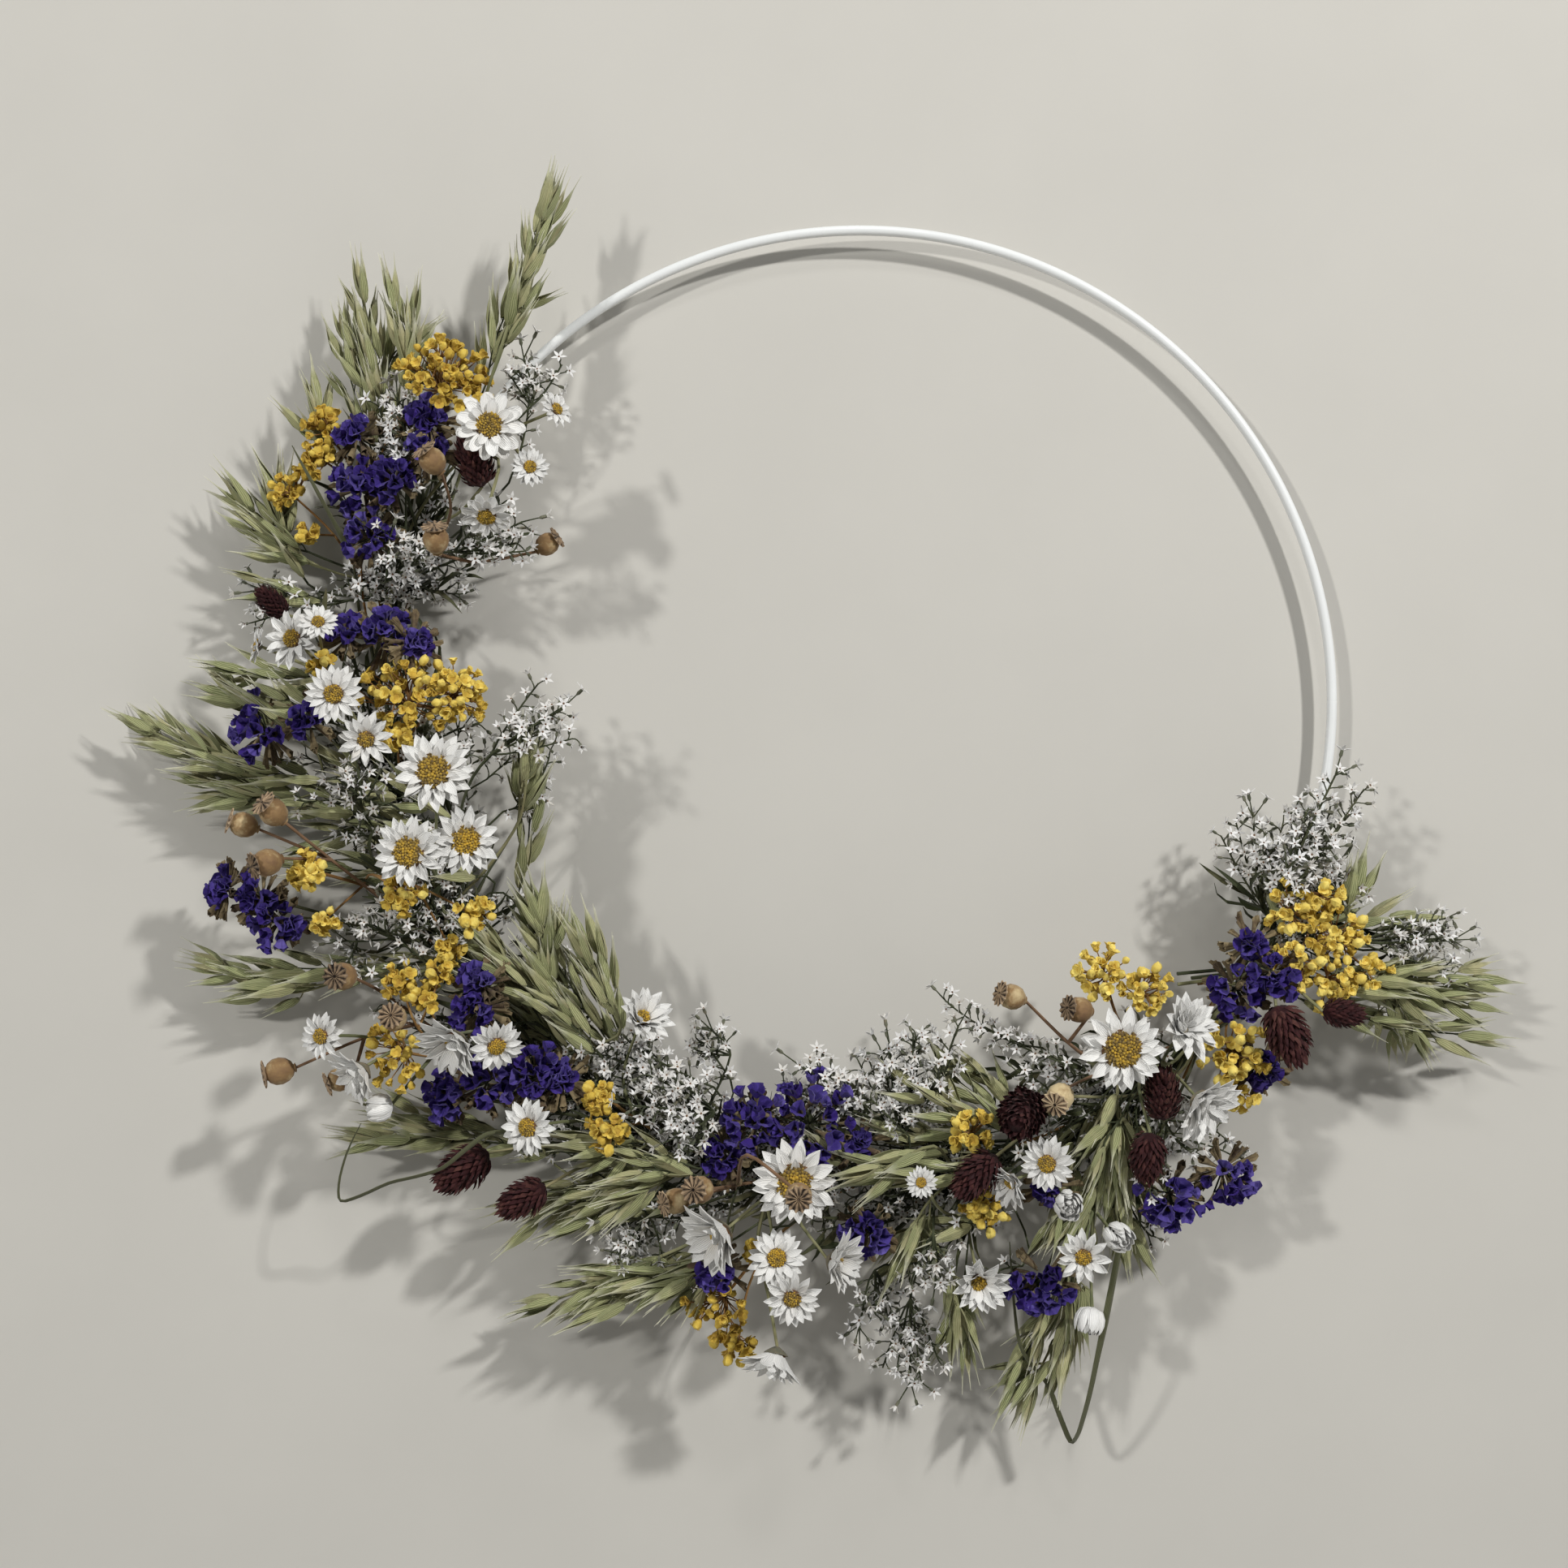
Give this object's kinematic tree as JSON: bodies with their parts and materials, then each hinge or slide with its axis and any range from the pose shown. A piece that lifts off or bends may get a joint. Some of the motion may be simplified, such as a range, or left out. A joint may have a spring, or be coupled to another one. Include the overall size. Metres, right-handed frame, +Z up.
{
  "type": "dried flower wreath",
  "caption": "Round metal hoop with bunches of dried oats, statice, everlasting daisies, poppy heads and grasses wired along its left and lower side; it hangs on a wall by its bare top.",
  "frame": {"origin": "the point inside the rod at the top of the hoop, where what holds the wreath touches it", "axes": "+X to the right as the viewer sees it, +Z up, the flowers toward -Y and the wall at +Y"},
  "size_m": [0.4486, 0.0756, 0.3989],
  "materials": {
    "hoop_paint": "glossy cool white",
    "wire": "dull dark florist's wire",
    "oat_straw": "dry matt sage green to straw, finely striped",
    "star_white": "matt papery white with dark centres",
    "yellow_bud": "matt deep yellow",
    "statice_violet": "matt papery violet",
    "daisy_white": "silky papery white bracts round a golden disc",
    "poppy_tan": "dry matt tan and brown",
    "phalaris_burgundy": "matt dark burgundy brown",
    "blade_green": "matt dark olive"
  },
  "bodies": {
    "root": {"binding_wire": "wire", "daisies_1": "daisy_white", "daisies_2": "daisy_white", "daisies_3": "daisy_white", "daisies_4": "daisy_white", "daisies_5": "daisy_white", "daisies_6": "daisy_white", "daisies_7": "daisy_white", "daisies_8a": "daisy_white", "daisies_8b": "daisy_white", "grass_blade_1": "blade_green", "grass_blade_5": "blade_green", "grass_blade_8": "blade_green", "hoop": "hoop_paint", "oats_1a": "oat_straw", "oats_1b": "oat_straw", "oats_2": "oat_straw", "oats_3": "oat_straw", "oats_4": "oat_straw", "oats_5": "oat_straw", "oats_6": "oat_straw", "oats_7": "oat_straw", "oats_8": "oat_straw", "oats_9": "oat_straw", "phalaris_1": "phalaris_burgundy", "phalaris_5": "phalaris_burgundy", "phalaris_7": "phalaris_burgundy", "phalaris_8": "phalaris_burgundy", "phalaris_9": "phalaris_burgundy", "poppies_1": "poppy_tan", "poppies_3": "poppy_tan", "poppies_4": "poppy_tan", "poppies_6": "poppy_tan", "poppies_8": "poppy_tan", "stars_1": "star_white", "stars_2": "star_white", "stars_3": "star_white", "stars_5": "star_white", "stars_6": "star_white", "stars_7": "star_white", "stars_9": "star_white", "statice_1": "statice_violet", "statice_2": "statice_violet", "statice_3": "statice_violet", "statice_4": "statice_violet", "statice_5": "statice_violet", "statice_6": "statice_violet", "statice_7": "statice_violet", "statice_8": "statice_violet", "statice_9": "statice_violet", "yellow_1": "yellow_bud", "yellow_2": "yellow_bud", "yellow_3": "yellow_bud", "yellow_4": "yellow_bud", "yellow_5": "yellow_bud", "yellow_6": "yellow_bud", "yellow_7": "yellow_bud", "yellow_8a": "yellow_bud", "yellow_8b": "yellow_bud", "yellow_9": "yellow_bud"}
  },
  "joints": []
}
